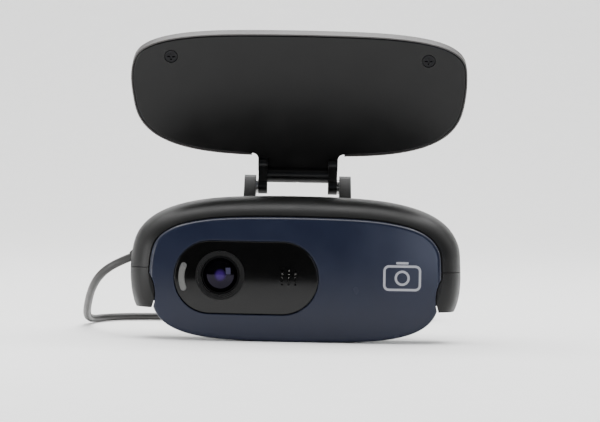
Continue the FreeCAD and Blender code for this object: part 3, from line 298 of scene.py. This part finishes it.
lens_glass = coated_glass("magenta_coated_lens", "#030304", "#2b1850")
filter_glass = coated_glass("cyan_filter_glass", "#20484c", "#2a5a60")
sensor_glass = coated_glass("silicon_under_glass", "#1b1024", "#2a1838")


# %% [markdown]
# Metals keep the shader's own refraction. Rolled and plated steel shows fine lines along the way it was
# drawn, so the noise is squeezed in one direction.

# %% Metals and board


def drawn_metal(name, dark, light, rough_low, rough_high, squeeze=(8.0, 1.0, 1.0)):
    material, tree, place = start_material(name)
    stretched = add_node(tree, "ShaderNodeMapping", inputs={"Vector": place, "Scale": squeeze}).outputs["Vector"]
    lines = grain(tree, stretched, 0.6 * MM)
    finish_material(tree, {"Base Color": two_tone(tree, lines, dark, light), "Metallic": 1.0,
                           "Roughness": spread(tree, lines, rough_low, rough_high)}, lines, 0.003 * MM)
    return material


pin_steel = drawn_metal("ground_steel_pin", "#8d8d8d", "#a2a2a2", 0.2, 0.32)
black_zinc = drawn_metal("black_zinc_screw", "#1a1a1b", "#262627", 0.3, 0.42)
plated_steel = drawn_metal("nickel_plated_steel", "#b4b2ae", "#c8c6c2", 0.14, 0.24)
contact_gold = drawn_metal("gold_plated_contact", "#c79a3c", "#d9b055", 0.15, 0.25)
solder_resist = moulded("green_solder_resist", "#0f3d1e", "#155028", 0.25, 0.38, patch=2 * MM)

# %% [markdown]
# New pieces are modelled as by hand: a primitive is added, shaped in edit mode, and finished with
# modifiers. These short helpers select one piece, pick edges or faces by a rule, and apply a modifier.

# %% Helpers for modelling
SMOOTH_UP_TO = math.radians(35)


def choose_only(piece):
    bpy.ops.object.select_all(action="DESELECT")
    piece.select_set(True)
    bpy.context.view_layer.objects.active = piece


def pick(piece, kind, rule):
    """In edit mode: selects the edges or faces that the rule accepts, by their middle and their way."""
    bpy.ops.mesh.select_all(action="DESELECT")
    bpy.ops.mesh.select_mode(type=kind)
    bpy.ops.object.mode_set(mode="OBJECT")
    mesh = piece.data
    if kind == "FACE":
        for face in mesh.polygons:
            face.select = rule(face.center, face.normal)
    else:
        for edge in mesh.edges:
            start, end = (mesh.vertices[i].co for i in edge.vertices)
            edge.select = rule((start + end) / 2, (end - start).normalized())
    bpy.ops.object.mode_set(mode="EDIT")


def add_modifier(piece, kind, **settings):
    """Adds a modifier with these settings and applies it."""
    choose_only(piece)
    bpy.ops.object.modifier_add(type=kind)
    modifier = piece.modifiers[-1]
    for name, value in settings.items():
        setattr(modifier, name, value)
    bpy.ops.object.modifier_apply(modifier=modifier.name)


def shade(piece):
    choose_only(piece)
    bpy.ops.object.shade_smooth_by_angle(angle=SMOOTH_UP_TO)
    add_modifier(piece, "WEIGHTED_NORMAL", mode="FACE_AREA", weight=100, keep_sharp=True)


def dress(piece, name, body, slot, material, *nodes):
    """Names a piece, gives it its material and body, and hides the nodes that it stands for."""
    piece.name = piece.data.name = name
    piece.data.materials.clear()
    piece.data.materials.append(material)
    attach(piece, body)
    if nodes:
        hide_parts(*nodes)
    print(name, len(piece.data.polygons), "faces")


# %% [markdown]
# The grip pads are die-cut from ribbed silicone sheet. Each is a block at its real size whose upright
# corners are rounded first. Its outer rim is then rolled over a little, as cut silicone is. The flap's pad
# is modelled upright in the flap's own frame and then leaned over the hinge line in edit mode.

# %% Grip pads


def rubber_pad(name, node, body, size, centre, outward, corner, lean=0.0, hinge=(0, 0, 0)):
    """Block of this size at this place, rounded, whose visible face looks along 'outward'."""
    bpy.ops.object.select_all(action="DESELECT")
    bpy.ops.mesh.primitive_cube_add(size=1.0)
    pad = bpy.context.object
    outward = Vector(outward)
    bpy.ops.object.mode_set(mode="EDIT")
    bpy.ops.transform.resize(value=size)
    bpy.ops.transform.translate(value=centre)
    pick(pad, "EDGE", lambda middle, way: abs(way.dot(outward)) > 0.9)
    bpy.ops.mesh.bevel(offset=corner, segments=8)
    pick(pad, "FACE", lambda middle, normal: normal.dot(outward) > 0.9)
    bpy.ops.mesh.region_to_loop()
    bpy.ops.mesh.bevel(offset=0.2 * MM, segments=3)
    if lean:
        bpy.ops.mesh.select_all(action="SELECT")
        bpy.ops.transform.rotate(value=lean, orient_axis="X", center_override=hinge)
    bpy.ops.object.mode_set(mode="OBJECT")
    shade(pad)
    dress(pad, name, body, "rubber", soft_rubber, node)


def box_size(node):
    low, high = (Vector(corner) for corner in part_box(node))
    return high - low


rubber_pad("saddle_grip_strip", "saddle_pad", "head", box_size("saddle_pad"), middle("saddle_pad"),
           (0, 0, -1), 1.5 * MM)
rubber_pad("lip_grip_strip", "lip_pad", "head", box_size("lip_pad"), middle("lip_pad"), (0, 1, 0), 1.2 * MM)
FLAP_LEAN = math.radians(28)
FLAP_PAD_SIZE = Vector((48, 0.8, 14)) * MM
FLAP_PAD_FROM_HINGE = Vector((0, 3.6, 24.0)) * MM
hinge_line = Vector(frame["joints"][0]["pos_m"])
rubber_pad("flap_grip_strip", "flap_grip_pad", "flap", FLAP_PAD_SIZE, hinge_line + FLAP_PAD_FROM_HINGE,
           (0, 1, 0), 2.0 * MM, -FLAP_LEAN, hinge_line)

# %% [markdown]
# The mark printed beside the window is a plain camera sign: a rounded frame, a ring for the lens and a
# short bar for the finder. Each shape starts as a flat face. Its corners are bevelled, an inset leaves
# only the stroke, and the stroke is divided finely enough to follow the plate. Shrinkwrap then lays
# it on the curved plate, and Solidify gives the ink its few hundredths of a millimetre.

# %% Printed camera sign
MARK_CENTRE = Vector((22.4, 0.0, 6.2)) * MM
STROKE = 0.48 * MM
INK_THICK = 0.02 * MM


def stroke_shape(width, height, centre, corner, hollow=True, round_shape=False):
    """Flat outline facing the front: a ring, or a rectangle with rounded corners."""
    bpy.ops.object.select_all(action="DESELECT")
    if round_shape:
        bpy.ops.mesh.primitive_circle_add(radius=width / 2, vertices=48, fill_type="NGON")
    else:
        bpy.ops.mesh.primitive_plane_add(size=1.0)
    shape = bpy.context.object
    bpy.ops.object.mode_set(mode="EDIT")
    if not round_shape:
        bpy.ops.transform.resize(value=(width, height, 1.0))
        bpy.ops.mesh.select_all(action="SELECT")
        bpy.ops.mesh.bevel(offset=corner, segments=6, affect="VERTICES")
        bpy.ops.mesh.select_all(action="SELECT")
    if hollow:
        bpy.ops.mesh.inset(thickness=STROKE)
        bpy.ops.mesh.delete(type="FACE")
        bpy.ops.mesh.select_all(action="SELECT")
        bpy.ops.mesh.subdivide(number_cuts=3)
    bpy.ops.transform.rotate(value=-math.pi / 2, orient_axis="X", center_override=(0, 0, 0))
    bpy.ops.transform.translate(value=centre)
    bpy.ops.object.mode_set(mode="OBJECT")
    return shape


IN_FRONT = Vector((0, -12.0 * MM, 0))
frame_shape = stroke_shape(8.0 * MM, 5.4 * MM, MARK_CENTRE + IN_FRONT, 1.2 * MM)
lens_shape = stroke_shape(3.2 * MM, 0, MARK_CENTRE + IN_FRONT, 0, round_shape=True)
finder_shape = stroke_shape(2.6 * MM, STROKE, MARK_CENTRE + IN_FRONT + Vector((0, 0, 3.15 * MM)), 0.15 * MM,
                            hollow=False)
choose_only(frame_shape)
lens_shape.select_set(True)
finder_shape.select_set(True)
bpy.ops.object.join()
printed_mark = bpy.context.object
add_modifier(printed_mark, "SHRINKWRAP", target=frame["nodes"]["face_plate"], wrap_method="PROJECT",
             use_project_y=True, use_positive_direction=True, use_negative_direction=True)
add_modifier(printed_mark, "SOLIDIFY", thickness=2 * INK_THICK, offset=0.0)
dress(printed_mark, "printed_camera_sign", "head", "face", printed_ink)
mark_ys = [vertex.co.y for vertex in printed_mark.data.vertices]
print("mark lies at y", round(min(mark_ys) / MM, 2), "to", round(max(mark_ys) / MM, 2), "mm")

# %% [markdown]
# Every other node that can be seen keeps its CAD shape and only gets its real material.

# %% Materials of the nodes that stay
KEPT = {
    "face_plate": face_gloss, "lens_window": window_gloss,
    "top_shell": casing_abs, "bottom_shell": casing_abs, "flap_panel": flap_abs, "flap_back_shell": rear_abs,
    "lens_trim_ring": barrel_black, "lens_barrel": bore_black, "front_lens": lens_glass,
    "window_gasket": soft_rubber,
    "rear_lens": lens_glass, "lens_holder": bore_black,
    "infrared_filter": filter_glass, "image_sensor": sensor_glass, "circuit_board": solder_resist,
    "processor_chip": chip_epoxy, "memory_chip": chip_epoxy, "crystal_can": plated_steel,
    "board_components": chip_epoxy, "indicator_led": pale_nylon, "light_pipe": light_guide,
    "microphone_capsule": plated_steel, "microphone_boot": soft_rubber, "cable_header": pale_nylon,
    "header_plug": pale_nylon, "inner_wires": wire_pvc, "cable_inner_end": cable_pvc,
    "cable_grommet": soft_rubber, "cable_clamp": pale_nylon, "board_screws": black_zinc,
    "casing_screws": black_zinc,
    "hinge_pin_left": pin_steel, "hinge_pin_right": pin_steel, "friction_washers": pin_steel,
    "cable_tie": chip_epoxy, "usb_plug_grip": soft_rubber, "usb_plug_shell": plated_steel,
    "usb_plug_tongue": chip_epoxy, "usb_plug_contacts": contact_gold,
    "flap_screws": black_zinc,
}
for node, material in KEPT.items():
    shown = frame["nodes"][node]
    shown.data.materials.clear()
    shown.data.materials.append(material)
cable_curve.materials.append(cable_pvc)
print("materials set on", len(KEPT), "nodes")

# %% [markdown]
# Plain studio: a pale floor that curves up behind, one wide soft light above, a wash on the backdrop, a
# cool panel at the front right and a small card low at the left.

# %% Floor and light
bpy.ops.object.select_all(action="DESELECT")
bpy.ops.mesh.primitive_plane_add(size=1.0)
backdrop = bpy.context.object
backdrop.name = "studio_backdrop"
bpy.ops.object.mode_set(mode="EDIT")
bpy.ops.transform.resize(value=(6.0, 3.0, 1.0))
bpy.ops.transform.translate(value=(0, 0, floor_height))
pick(backdrop, "EDGE", lambda middle, way: middle.y > 1.4)
bpy.ops.mesh.extrude_region_move(TRANSFORM_OT_translate={"value": (0, 0, 2.0)})
pick(backdrop, "EDGE", lambda middle, way: middle.y > 1.4 and middle.z < 0.1 and abs(way.x) > 0.9)
bpy.ops.mesh.bevel(offset=0.6, segments=16)
bpy.ops.object.mode_set(mode="OBJECT")
bpy.ops.object.shade_smooth()
pale, tree, place = start_material("pale_paper_backdrop")
fibre = grain(tree, place, 8 * MM)
finish_material(tree, {"Base Color": two_tone(tree, fibre, "#f2f2f1", "#f6f6f5"), "Roughness": 0.7})
backdrop.data.materials.append(pale)

world = bpy.data.worlds.new("studio_air")
world.use_nodes = True
air = world.node_tree
air.nodes.clear()
way = add_node(air, "ShaderNodeTexCoord").outputs["Generated"]
parts = add_node(air, "ShaderNodeSeparateXYZ", inputs={"Vector": way})
raised = add_node(air, "ShaderNodeMath", {"operation": "MULTIPLY_ADD"})
air.links.new(parts.outputs["Z"], raised.inputs[0])
raised.inputs[1].default_value = 0.5
air.links.new(parts.outputs["Y"], raised.inputs[2])
strength = add_node(air, "ShaderNodeMapRange", {"interpolation_type": "SMOOTHSTEP"},
                    {"Value": raised.outputs[0], "From Min": -0.5, "From Max": 0.75, "To Min": 0.05, "To Max": 2.6})
sky = add_node(air, "ShaderNodeBackground", inputs={"Color": (1.0, 1.0, 1.0, 1.0),
                                                    "Strength": strength.outputs["Result"]})
add_node(air, "ShaderNodeOutputWorld", inputs={"Surface": sky.outputs["Background"]})
bpy.context.scene.world = world


def soft_light(name, place, aim, width, height, power, colour="#ffffff"):
    data = bpy.data.lights.new(name, "AREA")
    data.shape = "RECTANGLE"
    data.size, data.size_y = width, height
    data.energy = power
    data.color = linear(colour)[:3]
    lamp = bpy.data.objects.new(name, data)
    bpy.context.scene.collection.objects.link(lamp)
    way = (Vector(aim) - Vector(place)).to_track_quat("-Z", "Y").to_matrix().to_4x4()
    lamp.matrix_world = Matrix.Translation(Vector(place)) @ way


soft_light("top_softbox", (0.0, 0.1, 0.6), (0, 0, 0.02), 0.6, 0.4, 5.0)
soft_light("backdrop_wash", (0.0, 0.8, 1.3), (0, 1.5, 0.35), 1.8, 0.4, 22.0)
soft_light("window_panel", (0.42, -0.9, 0.22), (0, 0, 0.01), 0.3, 0.4, 2.5, "#dfe8ff")
soft_light("left_card", (-0.17, -0.09, 0.03), (-0.03, 0.01, 0.045), 0.07, 0.09, 0.16)

# %% Update the view layer
bpy.context.view_layer.update()
